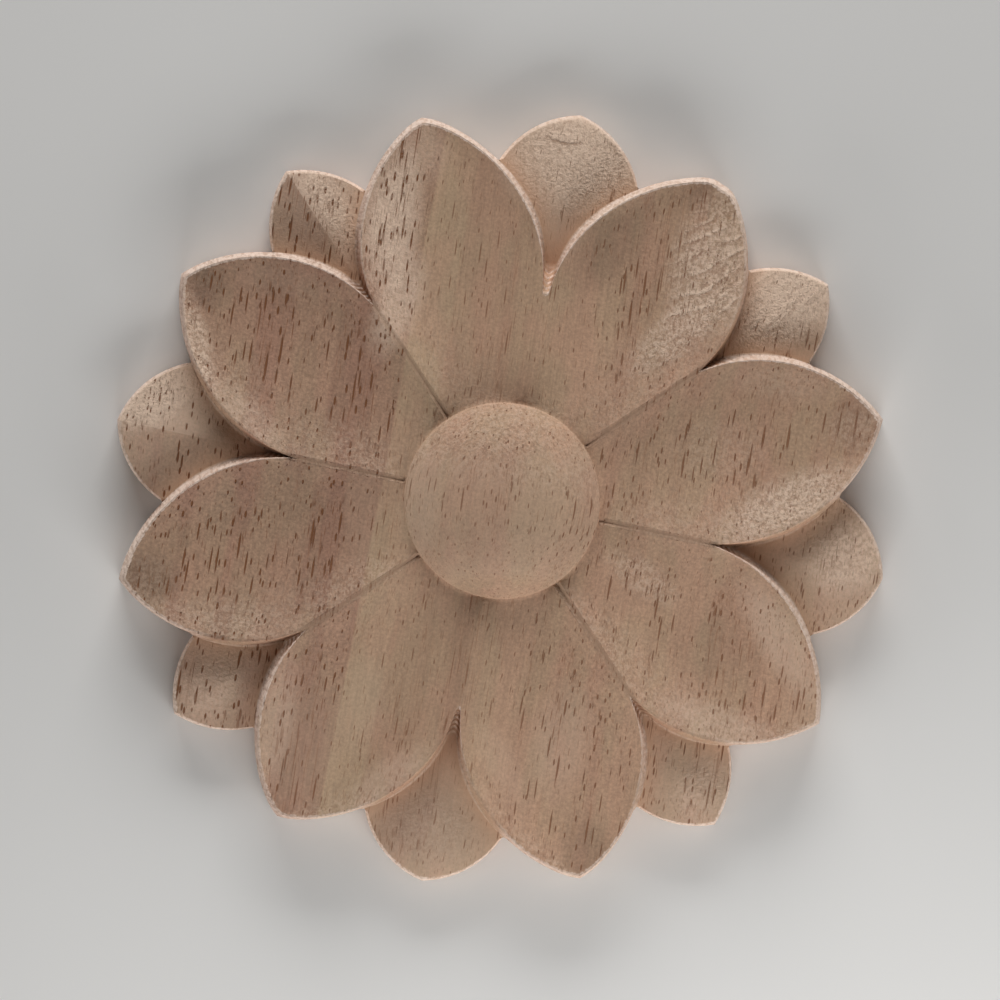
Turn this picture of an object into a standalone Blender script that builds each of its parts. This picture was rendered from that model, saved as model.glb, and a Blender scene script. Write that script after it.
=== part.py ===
"""A carved wood onlay: a round flower rosette, 80 mm across, to be glued on by its flat back.

Eight broad pointed petals ring a low dome. Eight lower petals show between them. The onlay lies on
its back: +Z is the carved face, the origin is the centre of the back, and +Y runs through the tip
of a wide lower petal. Lengths are in metres.

Every outline is made of arcs. The ray from the centre at each angle meets its arc once, so both
tiers of petals are one loft through rings of points around the same set of rays.
"""

import math

import bmesh
import bpy
import numpy as np

NAME = "carved_rosette"
PETALS = 8
SECTOR = 2 * math.pi / PETALS

# The whole onlay
TIP_RADIUS = 0.0400
EDGE_HEIGHT = 0.0014  # top of the plain sawn edge, where the slope of the carved walls begins

# Upper petals: a side is an arc from the notch between two petals to the tip. Each notch stands
# over a lower petal, and the petal's tip leans a little away from the wide ones.
WIDE_SHARE = 0.522  # share of the sector between the tip and the notch over a wide lower petal
RIM_TIP_RADIUS = 0.0394
RIM_NOTCH = {"wide": 0.0214, "narrow": 0.0238}
RIM_ARC = {"wide": 0.0171, "narrow": 0.0158}
FOOT_NOTCH = {"wide": 0.0236, "narrow": 0.0258}
FOOT_ARC = {"wide": 0.0176, "narrow": 0.0165}

# Upper petals' face: a shallow dish, highest along its rims
HUB_HEIGHT = 0.0063  # beside the dome
TIP_HEIGHT = 0.0046
SAG = 0.0006  # how far the middle of the centre line hangs below a straight line
RIM_LIFT = 0.0019  # how far the rims stand over the centre line at mid-length
LIFT_POWER = 0.8

# Lower petals: the end of each is two arcs that meet at the tip, centred across the petal's axis
LOWER_ARC = {"wide": 0.0099, "narrow": 0.0105}
LOWER_ACROSS = {"wide": 0.0020, "narrow": 0.0042}
LOWER_NOTCH_HEIGHT = 0.0034
LOWER_TIP_HEIGHT = 0.0031
LOWER_CROWN = 0.0009  # how far the crest bulges over a straight line
LOWER_ROOF = 0.0010  # how far each side falls away from the crest
LOWER_HALF_WIDTH = 0.0071
ROOF_POWER = 1.4
LOWER_RIM_INSET = 0.0003

# Central dome
DOME_RADIUS = 0.0099
DOME_EDGE_HEIGHT = 0.0068
DOME_TOP_HEIGHT = 0.0110
DOME_FOOT_HEIGHT = 0.0030
INNER_RADIUS = 0.0080  # the petals' tier starts under the dome
BEDDING = 0.0060  # flat height of that tier where the dome covers it

# Cut lines between the upper petals
GROOVE_WIDTH = 0.00036
GROOVE_DEPTH = 0.0003
GROOVE_FLAT = 0.00004  # width of its bottom
GROOVE_START = 0.0097
GROOVE_OVER = 0.0006  # how far the cutter stands over the ridge that it follows

# Number of steps
INNER_STEPS = 6  # along half a petal's rim, from its notch to where it meets the outline
OUTER_STEPS = 4  # and from there to its tip
FACE_STEPS = 12
LOWER_STEPS = 4
DOME_STEPS = 9
DOME_SIDES = 64
GROOVE_STEPS = 8
SHARP_ANGLE = math.radians(28)
SAME_ANGLE = 1e-6
SAME_PLACE = 1e-7


def on_circle(radius, angle):
    return complex(radius * math.cos(angle), radius * math.sin(angle))


def arc_centre(start, end, radius):
    """The centre of the arc that turns left from start to end with this radius."""
    half = (end - start) / 2
    reach = math.sqrt(radius**2 - abs(half) ** 2)
    return start + half + 1j * half / abs(half) * reach


def ray_radius(angle, centre, radius):
    """How far out a ray from the origin leaves the circle with this centre and radius."""
    across = abs(centre) * np.sin(angle - np.angle(centre))
    along = abs(centre) * np.cos(angle - np.angle(centre))
    return along + np.sqrt(np.maximum(radius**2 - across**2, 0))


def side_angle(kind):
    """The angle from a notch of this kind to the tip of the petal beside it."""
    return SECTOR * (WIDE_SHARE if kind == "wide" else 1 - WIDE_SHARE)


def side_arc(kind, notch, tip, arc):
    """(centre, radius) of a petal's side, with its notch on the real axis."""
    end = on_circle(tip, side_angle(kind))
    return arc_centre(complex(notch[kind], 0), end, arc[kind]), arc[kind]


def rim_arc(kind):
    return side_arc(kind, RIM_NOTCH, RIM_TIP_RADIUS, RIM_ARC)


def foot_arc(kind):
    return side_arc(kind, FOOT_NOTCH, TIP_RADIUS, FOOT_ARC)


def meeting_angle(kind):
    """The angle from the notch at which an upper petal's foot leaves the lower petal's outline."""
    angles = np.linspace(0, side_angle(kind), 2000)
    foot = ray_radius(angles, *foot_arc(kind))
    return np.interp(0, foot - lower_outline(kind, angles, LOWER_ARC[kind]), angles)


def side_angles(kind):
    """Angles from the notch to the tip, evenly spaced along the rim up to where the petals meet
    in the outline, and evenly from there."""
    centre, radius = rim_arc(kind)
    meeting = meeting_angle(kind)
    rim = ray_radius(np.array([0, meeting, side_angle(kind)]), centre, radius)
    ends = rim * np.exp(1j * np.array([0, meeting, side_angle(kind)]))
    first, middle, last = np.angle(ends - centre)
    turns = np.concatenate(
        (np.linspace(first, middle, INNER_STEPS + 1), np.linspace(middle, last, OUTER_STEPS + 1)[1:])
    )
    angles = np.angle(centre + radius * np.exp(1j * turns))
    angles[[0, INNER_STEPS, -1]] = (0, meeting, side_angle(kind))
    return angles


def notch_gap(kind, radius):
    """The angle from the notch line to the rim at this radius, 0 where the petals still touch."""
    centre, arc = rim_arc(kind)
    cosine = (radius**2 + abs(centre) ** 2 - arc**2) / (2 * radius * abs(centre))
    gap = np.angle(centre) - np.arccos(np.clip(cosine, -1, 1))
    return np.where(radius > RIM_NOTCH[kind], np.maximum(gap, 0), 0)


def centre_line_height(radius):
    share = (radius - DOME_RADIUS) / (RIM_TIP_RADIUS - DOME_RADIUS)
    straight = HUB_HEIGHT + (TIP_HEIGHT - HUB_HEIGHT) * share
    return straight - SAG * 4 * share * (1 - share)


def rim_lift(radius):
    share = np.clip((radius - DOME_RADIUS) / (RIM_TIP_RADIUS - DOME_RADIUS), 0, 1)
    return RIM_LIFT * (4 * share * (1 - share)) ** LIFT_POWER


def face_height(kind, angle, radius):
    """Height of an upper petal at this angle from its notch line: a parabola across the petal."""
    half = side_angle(kind) - notch_gap(kind, radius)
    across = (side_angle(kind) - angle) / np.maximum(half, 1e-9)
    return centre_line_height(radius) + rim_lift(radius) * np.minimum(across, 1) ** 2


def lower_outline(kind, angle, arc):
    """Radius of a lower petal's outline at this angle from its axis, with arcs of this radius."""
    across = LOWER_ACROSS[kind]
    along = TIP_RADIUS - math.sqrt(LOWER_ARC[kind] ** 2 - across**2)
    return ray_radius(angle, complex(along, -across), arc)


def lower_height(angle, radius):
    """Height of a lower petal: a crest along its axis with sides that fall away like a roof."""
    share = (radius - RIM_NOTCH["wide"]) / (TIP_RADIUS - RIM_NOTCH["wide"])
    crest = LOWER_NOTCH_HEIGHT + (LOWER_TIP_HEIGHT - LOWER_NOTCH_HEIGHT) * share
    crest = crest + LOWER_CROWN * 4 * share * (1 - share)
    sideways = np.minimum(abs(radius * np.sin(angle)) / LOWER_HALF_WIDTH, 1)
    return crest - LOWER_ROOF * sideways**ROOF_POWER


def loft(name, rings):
    """A closed mesh object of triangles through rings of equally many points."""
    mesh = bmesh.new()
    rows = [[mesh.verts.new(point) for point in ring] for ring in rings]
    mesh.faces.new(rows[0])
    mesh.faces.new(rows[-1][::-1])
    for upper, lower in zip(rows, rows[1:]):
        for i in range(len(upper)):
            j = (i + 1) % len(upper)
            mesh.faces.new((upper[i], lower[i], lower[j], upper[j]))
    bmesh.ops.remove_doubles(mesh, verts=mesh.verts, dist=SAME_PLACE)
    bmesh.ops.triangulate(mesh, faces=mesh.faces)
    bmesh.ops.recalc_face_normals(mesh, faces=mesh.faces)
    data = bpy.data.meshes.new(name)
    mesh.to_mesh(data)
    mesh.free()
    return bpy.data.objects.new(name, data)


def around(of_side):
    """One closed ring of points from of_side(kind), which gives the angles, radii and heights of
    half a petal from its notch to its tip."""
    ring = []
    for k in range(PETALS):
        kinds = ("wide", "narrow") if k % 2 == 0 else ("narrow", "wide")
        angles, radii, heights = of_side(kinds[0])
        ring.append((k * SECTOR + angles[:-1], radii[:-1], heights[:-1]))
        angles, radii, heights = of_side(kinds[1])
        ring.append(((k + 1) * SECTOR - angles[:0:-1], radii[:0:-1], heights[:0:-1]))
    angles, radii, heights = (np.concatenate(column) for column in zip(*ring))
    return np.stack((radii * np.cos(angles), radii * np.sin(angles), heights), axis=-1).tolist()


def petal_tiers():
    """Both tiers of petals as one body: dished faces, sloping walls, lower petals and sawn edge."""

    def face_ring(share):
        def of_side(kind):
            angles = side_angles(kind)
            rim = ray_radius(angles, *rim_arc(kind))
            radii = INNER_RADIUS + (rim - INNER_RADIUS) * share
            heights = face_height(kind, angles, radii)
            return angles, radii, heights if share > 0 else np.full_like(radii, BEDDING)

        return around(of_side)

    def lower_ring(share):
        def of_side(kind):
            angles = side_angles(kind)
            foot = ray_radius(angles, *foot_arc(kind))
            lower_rim = lower_outline(kind, angles, LOWER_ARC[kind] - LOWER_RIM_INSET)
            radii = foot + (lower_rim - foot) * share
            covered = angles > meeting_angle(kind) + SAME_ANGLE
            radii = np.where(covered, foot, radii)
            heights = np.where(covered, EDGE_HEIGHT, lower_height(angles, radii))
            return angles, radii, heights

        return around(of_side)

    def edge_ring(height):
        def of_side(kind):
            angles = side_angles(kind)
            foot = ray_radius(angles, *foot_arc(kind))
            outline = lower_outline(kind, angles, LOWER_ARC[kind])
            return angles, np.maximum(foot, outline), np.full_like(angles, height)

        return around(of_side)

    faces = [face_ring(share) for share in np.linspace(0, 1, FACE_STEPS + 1)]
    lowers = [lower_ring(share) for share in np.linspace(0, 1, LOWER_STEPS + 1)]
    return loft(NAME, [*faces, *lowers, edge_ring(EDGE_HEIGHT), edge_ring(0)])


def dome():
    """A low turned cap with a short upright side."""
    rise = DOME_TOP_HEIGHT - DOME_EDGE_HEIGHT
    sphere = (DOME_RADIUS**2 + rise**2) / (2 * rise)
    turns = np.linspace(0, math.asin(DOME_RADIUS / sphere), DOME_STEPS)
    cap = [
        (sphere * math.sin(turn), DOME_TOP_HEIGHT - sphere * (1 - math.cos(turn)))
        for turn in turns
    ]
    profile = [*cap, (DOME_RADIUS, DOME_FOOT_HEIGHT), (0, DOME_FOOT_HEIGHT)]
    data = bpy.data.meshes.new("dome")
    points = [(radius, 0, height) for radius, height in profile]
    data.from_pydata(points, [(i, i + 1) for i in range(len(points) - 1)], [])
    turned = bpy.data.objects.new("dome", data)
    screw = turned.modifiers.new("turn", "SCREW")
    screw.steps = DOME_SIDES
    screw.render_steps = DOME_SIDES
    screw.use_merge_vertices = True
    screw.merge_threshold = 0.00001
    return turned


def groove(index):
    """A V-shaped cutter that follows the ridge between two upper petals, from dome to notch."""
    kind = "wide" if index % 2 == 0 else "narrow"
    radii = np.linspace(GROOVE_START, RIM_NOTCH[kind] + GROOVE_WIDTH, GROOVE_STEPS)
    ridge = face_height(kind, 0, radii)
    reach = GROOVE_WIDTH / 2 * (GROOVE_DEPTH + GROOVE_OVER) / GROOVE_DEPTH
    section = (
        (-reach, GROOVE_OVER),
        (reach, GROOVE_OVER),
        (GROOVE_FLAT / 2, -GROOVE_DEPTH),
        (-GROOVE_FLAT / 2, -GROOVE_DEPTH),
    )
    rings = [
        [(r, across, z + up) for across, up in section]
        for r, z in zip(radii.tolist(), ridge.tolist())
    ]
    cutter = loft(f"groove_{index + 1}", rings)
    cutter.rotation_euler.z = index * SECTOR
    return cutter


def join(target, other, operation):
    modifier = target.modifiers.new(other.name, "BOOLEAN")
    modifier.operation = operation
    modifier.solver = "EXACT"
    modifier.object = other


def hardwood():
    material = bpy.data.materials.new("pale_hardwood")
    material.use_nodes = True
    shader = material.node_tree.nodes["Principled BSDF"]
    shader.inputs["Base Color"].default_value = (0.56, 0.39, 0.28, 1)
    shader.inputs["Roughness"].default_value = 0.75
    shader.inputs["Metallic"].default_value = 0
    return material


def clear_scene():
    for item in list(bpy.data.objects):
        bpy.data.objects.remove(item, do_unlink=True)


def collection(name):
    made = bpy.data.collections.new(name)
    bpy.context.scene.collection.children.link(made)
    return made


def main():
    clear_scene()
    parts = collection("carved_wood_onlay")
    helpers = collection("helpers")
    rosette = petal_tiers()
    parts.objects.link(rosette)
    cap = dome()
    cutters = [groove(k) for k in range(PETALS)]
    join(rosette, cap, "UNION")
    for cutter in cutters:
        join(rosette, cutter, "DIFFERENCE")
    for helper in (cap, *cutters):
        helpers.objects.link(helper)
        helper.hide_render = True
        helper.display_type = "WIRE"
    rosette.data.materials.append(hardwood())
    rosette.data.shade_smooth()
    rosette.data.set_sharp_from_angle(angle=SHARP_ANGLE)


main()
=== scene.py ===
"""Looks of a carved wood onlay: a round flower rosette of bare pale hardwood, lying on its back.

One fine surface stands for the carved solid. It is worked out from the same arcs and heights, with
the cut lines, tool steps and torn grain that the solid is too coarse for. Lengths are in metres.
"""

import math
from types import SimpleNamespace

import bpy
import numpy as np
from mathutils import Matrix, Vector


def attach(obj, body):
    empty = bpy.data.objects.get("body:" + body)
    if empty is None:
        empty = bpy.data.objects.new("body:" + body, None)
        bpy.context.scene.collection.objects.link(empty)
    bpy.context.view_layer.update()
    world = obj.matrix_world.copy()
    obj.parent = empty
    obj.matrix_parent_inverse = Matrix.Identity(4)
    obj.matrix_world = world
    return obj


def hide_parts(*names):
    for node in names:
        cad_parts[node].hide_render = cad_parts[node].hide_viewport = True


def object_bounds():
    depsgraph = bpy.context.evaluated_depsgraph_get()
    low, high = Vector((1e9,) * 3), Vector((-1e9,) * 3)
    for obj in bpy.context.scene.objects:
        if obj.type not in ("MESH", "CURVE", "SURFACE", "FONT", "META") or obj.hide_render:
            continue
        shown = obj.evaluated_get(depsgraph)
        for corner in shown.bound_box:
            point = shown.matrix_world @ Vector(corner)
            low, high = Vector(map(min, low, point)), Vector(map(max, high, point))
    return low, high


bl_info = {
    "name": "Carved wood rosette",
    "version": (1, 0, 0),
    "blender": (4, 5, 0),
    "location": "View3D > Sidebar > Onlay",
    "description": "Carves a wooden flower onlay, gives it its grain and sets its studio",
    "category": "Object",
}

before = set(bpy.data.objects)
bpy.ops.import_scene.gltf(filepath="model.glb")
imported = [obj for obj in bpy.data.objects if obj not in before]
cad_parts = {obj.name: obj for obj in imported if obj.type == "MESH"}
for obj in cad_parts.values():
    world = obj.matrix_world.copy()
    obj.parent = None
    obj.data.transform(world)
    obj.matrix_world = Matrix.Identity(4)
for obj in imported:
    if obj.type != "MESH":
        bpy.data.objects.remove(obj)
CAD_LOW, CAD_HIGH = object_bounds()
PIECE = "rosette_surface"
NODE = "carved_rosette"
BODY = "root"

PETALS = 8
SECTOR = 2 * math.pi / PETALS
TIP_RADIUS = CAD_HIGH[0]
TOP_HEIGHT = CAD_HIGH[2]
WIDE, NARROW = 0, 1

# Each pair of values is for the notches over the wide and over the narrow lower petals. Notches are
# counted turning left from the one on the x axis
SIDE_ANGLE = (0.522 * SECTOR, 0.478 * SECTOR)
RIM_TIP_RADIUS = 0.0394
RIM_NOTCH = (0.0214, 0.0238)
RIM_ARC = (0.0171, 0.0158)
FOOT_NOTCH = (0.0236, 0.0258)
FOOT_ARC = (0.0176, 0.0165)
LOWER_ARC = (0.0099, 0.0105)
LOWER_ACROSS = (0.0020, 0.0042)

# Heights over the back: the sawn edge, and the upper petals' centre line from the dome to the tip,
# how far it sags, how far the rims are lifted over it, and by which powers along and across
EDGE_HEIGHT = 0.0014
HUB_HEIGHT = 0.0063
TIP_HEIGHT = 0.0046
SAG = 0.0006
RIM_LIFT = 0.0019
LIFT_POWER = 0.8
CROSS_POWER = 2.4

# The lower petals: their crest at the notch and the tip, its crown between them, the fall of the
# roof to each side, over which width and by which power, and how round the crest and the rim are
LOWER_NOTCH_HEIGHT = 0.0034
LOWER_TIP_HEIGHT = 0.0031
LOWER_CROWN = 0.0009
LOWER_ROOF = 0.0010
LOWER_HALF_WIDTH = 0.0071
ROOF_POWER = (1.15, 1.0)
CREST_ROUND = 0.03
LOWER_RIM_INSET = 0.0003

# The dome, and the two rings of the crease around it
DOME_RADIUS = 0.0099
DOME_EDGE_HEIGHT = 0.0068
CREASE = (0.00003, 0.00009)
CREASE_LIFT = 0.00004

# Where the cut lines start beside the dome, how far they run over the notch's edge, how far down
# the wall the rounded rim reaches, the rounding of the back's edge, and how high the back counts
CUT_START = 0.0001
CUT_OVERRUN = 0.0006
WALL_START = 0.12
BACK_ROUND = 0.00012
BACK_UNDER = 0.0005

# Rings of each surface, rays of each half petal, and the power by which they crowd to the notch
DOME_RINGS = 22
FACE_RINGS = 62
WALL_RINGS = 17
LOWER_RINGS = 21
INNER_RAYS = 32
OUTER_RAYS = 16
RAY_CROWDING = 1.5

# How much rounder the rims are over walls that face the picture's bottom, and over which angle that
# fades beside the lower petal
SHOULDER = 4.0
SHELTER_FADE = 0.06

# How the photograph's pixels lie on the model
PHOTO_SIZE = 1000
PHOTO_CENTRE = (501, 499)
PHOTO_RADIUS = 391
PHOTO_TURN = math.radians(11.75)
PIXEL = TIP_RADIUS / PHOTO_RADIUS

# Patches that differ from the smooth wood: name, pixel, half sizes, turn of the long side in the
# picture, how rough and how ridged they are, how pale or, below 0, dark, and how much coarser. The
# pale and dark values are partly the wood's own tone and partly painted light and shade, such as
# the painted shade on and round the dome and the painted light on lower petals. Petals are counted
# clockwise from the one just left of the picture's top
PATCHES = (
    ("petal 1, tip", (422, 150), (34, 42), 0, 0.2, 0, 0.4, 0.3),
    ("petal 1, left side", (392, 220), (85, 34), 82, 0.45, 0, 1.25, 0.75),
    ("petal 1, by the notch", (398, 305), (64, 26), 68, 0.4, 0, 0.8, 0.55),
    ("petal 2, outer half", (710, 255), (88, 46), 66, 1, 0.8, 0.35, 0),
    ("petal 2, by the notch", (680, 330), (80, 28), 38, 0.9, 1, 0.35, 0),
    ("petal 2, tip", (717, 200), (40, 34), 0, 0, 0, -0.5, 0),
    ("petal 2, upper side", (612, 245), (62, 32), 52, 0, 0, -0.4, 0),
    ("petal 2, middle", (640, 292), (56, 34), 70, 0, 0, -0.1, 0.2),
    ("petal 3, upper side", (780, 382), (70, 22), -8, 0.2, 0, 0.1, 0),
    ("petal 3, middle", (720, 450), (60, 40), 0, 0.3, 0, 0, 0.3),
    ("petal 3, lower edge", (785, 505), (96, 34), 24, 1, 0, 0.6, 0),
    ("petal 3, tip", (856, 428), (40, 30), 0, 0.4, 0, -0.3, 0),
    ("petal 4, by the dome", (640, 575), (50, 22), -35, 0.6, 0, 0.1, 0.3),
    ("petal 4, right side", (780, 640), (85, 28), -58, 0.1, 0, 0.6, 0),
    ("petal 4, lower side", (715, 722), (80, 24), -22, 0.1, 0, 0.5, 0),
    ("petal 4, middle", (700, 645), (60, 44), 0, 0, 0, -0.2, 0),
    ("petal 4, tip", (806, 706), (30, 30), 0, 0, 0, 0.2, 0),
    ("petal 5, middle", (560, 740), (70, 36), 78, 0, 0, 0.3, 0),
    ("petal 5, left side", (500, 760), (64, 20), -62, 0, 0, 0.2, 0),
    ("petal 5, tip", (584, 852), (34, 50), 0, 0, 0, -0.5, 0),
    ("petal 6, left side", (277, 720), (85, 22), 80, 0.1, 0, 0.45, 0),
    ("petal 6, left stave", (305, 745), (90, 40), 80, 0, 0, 0.15, -0.9),
    ("petal 6, right side", (388, 780), (64, 26), 40, 0, 0, 0.4, 0),
    ("petal 6, middle", (362, 700), (60, 30), 80, 0, 0, 0.15, 0),
    ("petal 7, lower side", (232, 615), (80, 22), -8, 0.3, 0, 0.15, 0.2),
    ("petal 7, tip", (142, 578), (46, 34), 0, 0.3, 0, -0.6, 0),
    ("petal 7, upper side", (215, 495), (70, 34), 0, 0, 0, 0.05, 0.35),
    ("petal 8, upper side", (280, 280), (60, 20), -10, 0, 0, 0.15, 0),
    ("petal 8, tip", (193, 285), (44, 34), 0, 0.1, 0, -0.6, 0.3),
    ("petal 8, left edge", (196, 335), (70, 18), -72, 0.8, 0, 0.5, 0.2),
    ("petal 8, lower edge", (245, 415), (75, 24), -40, 0.4, 0, 0.4, 0.2),
    # The dome's darker upper and lower sides and the darker band above it are painted shade
    ("dome, upper side", (500, 428), (96, 40), 0, 0.5, 0, -0.2, 0.6),
    ("dome, middle", (500, 505), (88, 60), 0, 0, 0, 0, 0.1),
    ("dome, left side", (418, 495), (26, 70), 0, 0.1, 0, 0.2, 0),
    ("dome, lower side", (500, 586), (70, 18), 0, 0, 0, -0.25, 0),
    ("above the dome", (510, 378), (90, 24), 0, 0, 0, -0.12, 0),
    ("left of the dome", (362, 512), (24, 60), 0, 0, 0, 0.1, -0.3),
    ("lower petal 1, right side", (330, 205), (60, 22), -56, 0.6, 0, 0.3, 0),
    ("lower petal 2", (578, 160), (90, 66), 0, 0.8, 0, 0.7, 0),
    ("lower petal 2, by the notch", (560, 225), (30, 44), -10, 0, 0, 0.4, 0),
    ("lower petal 3", (785, 300), (80, 50), 32, 1, 0.8, 0.75, 0),
    ("lower petal 4", (848, 555), (54, 44), 30, 0.7, 0, 0.5, 0),
    ("lower petal 5", (700, 790), (44, 34), 60, 0.3, 0, 0.1, 0),
    ("lower petal 6", (430, 825), (60, 50), 0, 0.2, 0, -0.45, 0),
    ("lower petal 7", (210, 690), (44, 34), 30, 0.3, 0, 0.25, 0.3),
    ("lower petal 8", (158, 392), (66, 36), 35, 1, 0, 0.5, 0.5),
)
ROUGH, RIDGED, PALE, COARSE = 4, 5, 6, 7

# How much painted light, and below 0 painted shade, each notch's lower petal has on its clockwise
# and its other side, how much paler the dome is, and the palest that a patch can be
LOWER_SIDE_LIGHTING = (
    (0.1, -0.1), (0.2, 0.5), (0.2, 0.2), (0.7, -0.2), (0.8, 0.1), (0, 0), (0, 0), (0, 0)
)
DOME_PALE = 0.2
PALEST = 1.35

# How far each upper petal's tip is worn back, turning left from the first notch, and how far in
TIP_WEAR = (0.00005, 0.0007, 0.00025, 0.0001, 0.0001, 0.00025, 0.0002, 0.0)
TIP_WEAR_WIDTH = 0.0022

# Torn grain: from which tilt against the grain a face is fuzzy, over how much more tilt and how far
# it gets so, how large the lumps are beside the ridges, and how far in from a rim the fuzz reaches
FUZZ_FROM = 0.05
FUZZ_OVER = 0.22
FUZZ_MOST = 0.6
LUMP_SHARE = 0.15
EDGE_FUZZ = 0.0004

# Ridges of torn grain: their turn in the picture, their distance, the pixel that they fan out from
# and how fast, over which share of a turn they rise, and by which power they fall
RIDGE_TURN = 36
RIDGE_PITCH = 0.0019
RIDGE_PIXEL = (700, 325)
RIDGE_FAN = 55
RIDGE_RISE = 0.15
RIDGE_FALL = 1.3

# The loose sliver: its pixel, its half sizes in pixels and its turn in the picture
SLIVER_PIXEL = (563, 139)
SLIVER_HALF = (20, 5.5)
SLIVER_TURN = -12

# Direction of the grain in the model and how far it wanders sideways
GRAIN_TURN = math.radians(92.75)
GRAIN_WANDER = 0.0016

# Where the staves are glued, how far that line leans from the grain, how soft it is, where the
# yellow streak beside it fades out, and where the one in the middle fades in and out
GLUE_LINE = -0.0125
GLUE_LEAN = 0.031
GLUE_BLUR = 0.0002
GLUE_STREAK = (0.0036, 0.0045)
MIDDLE_STREAK = (0.0, 0.0012, 0.0045, 0.0070)

# Where the coarser wood at the right starts and is full, and how coarse it is
COARSE_FROM = 0.0030
COARSE_TO = 0.0090
COARSE_SHARE = 0.45

# Open pores: the width and the length of the cells that each kind has one pore in
LONG_PORES = (0.00052, 0.0078)
SHORT_PORES = (0.00056, 0.0023)
ROW_PORES = (0.00036, 0.0150)
FINE_PORES = (0.00027, 0.0032)

# Noises in the wood: how far each is drawn out along the grain, its scale, detail and roughness
NOISES = {
    "bands": (0.04, 330, 2),
    "streaks": (0.03, 2300, 3),
    "lines": (0.045, 5200, 1),
    "fibres": (0.2, 8000, 1),
    "tint": (0.4, 260, 2),
    "clouds": (1, 75, 2),
    "mottle": (1, 1900, 3, 0.65),
    "speckle": (1, 3400, 2, 0.6),
    "specks": (0.6, 3600, 3, 0.7),
}

# Painted shade in the notches: how far it reaches from a wall's foot, how much the other wall adds
# to it, and how much of it the walls have
RECESS_SHADE_REACH = 0.0010
RECESS_SHADE_OTHER = 0.7
RECESS_SHADE_WALL = 0.25

# Painted highlight in the paler cut colour: from which rise in the picture a wall gets it, over how
# much more rise, and how far it does anyway where it has no lower petal
HIGHLIGHT_FROM = -0.5
HIGHLIGHT_OVER = 0.8
HIGHLIGHT_OPEN = 0.7

# Length of the sharp end that each notch lacks, how soon that fades and how round the end is
NOTCH_BLUNT = (0.0, 0.0003, 0.0019, 0.0006, 0.0, 0.0004, 0.0013, 0.0007)
BLUNT_FADE = 0.0012
BLUNT_ROUND = 0.0006

# The cutter's steps where a notch runs out: how many, how far they slant back to each side, how
# round they are there, how level their treads are, over which share of the wall they fade and how
# dark the painted shadow in their gaps is in each notch
NOTCH_STEPS = 4
STEP_SLANT = 1.1
STEP_ROUND = 0.00022
STEP_LEVEL = 0.9
STEP_FADE = 0.7
STEP_SHADOW = (0.4, 0.3, 0.1, 0.9, 0.4, 0.6, 0.75, 0.75)

# Notches whose cut lines are faint, and how deep these are
FAINT_NOTCHES = (2, 6)
FAINT_SHARE = 0.2

# Vertices that agree to this many steps a metre are one
MERGE_STEPS = 1e8

# Soft lights: direction in the picture and elevation in degrees, distance and size
LIGHTS = {
    "upper": (90, 20, 0.55, (0.4, 0.2)),
    "left": (205, 13, 0.55, (0.4, 0.15)),
    "right": (350, 13, 0.55, (0.4, 0.15)),
    "near": (283, 26, 0.2, (0.2, 0.06)),
}
FLOOR_SIZE = 3.0
FLOOR_GAP = 0.00005


def number(name, description, default, **kind):
    """A number that a user may change, with its unit or subtype."""
    return bpy.props.FloatProperty(name=name, description=description, default=default, **kind)


def colour(name, description, default):
    """A colour that a user may change."""
    return bpy.props.FloatVectorProperty(
        name=name, description=description, default=default, subtype="COLOR", size=3
    )


class RosetteShape(bpy.types.PropertyGroup):
    """Sizes of the carving that a user may change."""

    rim_round: number("Rim rounding", "How far a petal's rim is rounded by sanding", 0.00012, unit="LENGTH")
    groove_width: number("Cut line width", "Width of the cut lines between petals", 0.00064, unit="LENGTH")
    groove_depth: number("Cut line depth", "Depth of the cut lines between petals", 0.00025, unit="LENGTH")
    torn_height: number("Torn grain height", "How far torn grain stands up at most", 0.00016, unit="LENGTH")


class WoodFinish(bpy.types.PropertyGroup):
    """Colours of the bare wood, and of its painted highlight and shade."""

    left_stave: colour("Left stave", "Colour of the pinkish stave on the left", (0.404, 0.240, 0.165))
    right_stave: colour("Right stave", "Colour of the wide stave to the right", (0.480, 0.301, 0.202))
    yellow_streak: colour("Yellow streak", "Colour of the yellower streaks", (0.520, 0.356, 0.235))
    pore: colour("Open pores", "Colour of the open pores", (0.225, 0.090, 0.037))
    # Paler cut wood on walls and rims, and painted highlight where these face the picture's top
    cut_wood_and_highlight: colour("Fresh cut", "Colour of the cut walls and their frayed rims", (0.835, 0.665, 0.560))
    # Pale torn wood, also the painted light on the lower petals and the ridges' crests
    torn_and_lit_wood: colour("Torn wood", "Colour of the pale and torn wood on the faces", (0.840, 0.630, 0.480))
    # Painted shade in the notches, the cut lines and the gaps between tool steps
    deep: colour("Deep cuts", "Colour of the wood deep in the notches", (0.580, 0.370, 0.245))


class StudioLight(bpy.types.PropertyGroup):
    """The stage's lights and camera."""

    upper_watts: number("Upper light", "Power of the soft light beyond the top", 2.65, unit="POWER")
    left_watts: number("Left light", "Power of the soft light to the lower left", 0.85, unit="POWER")
    right_watts: number("Right light", "Power of the soft light to the right", 0.60, unit="POWER")
    near_watts: number("Near light", "Power of the small light close below the flower", 0.26, unit="POWER")
    sky: number("Sky", "Strength of the even light from all around", 0.02)
    camera_height: number("Camera height", "Distance of the camera from the flower", 0.5, unit="LENGTH")
    lean_up: number("Camera lean up", "Lean to the picture's top", math.radians(2.2), subtype="ANGLE")
    lean_left: number("Camera lean left", "Lean to the picture's left", math.radians(1.2), subtype="ANGLE")


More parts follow.
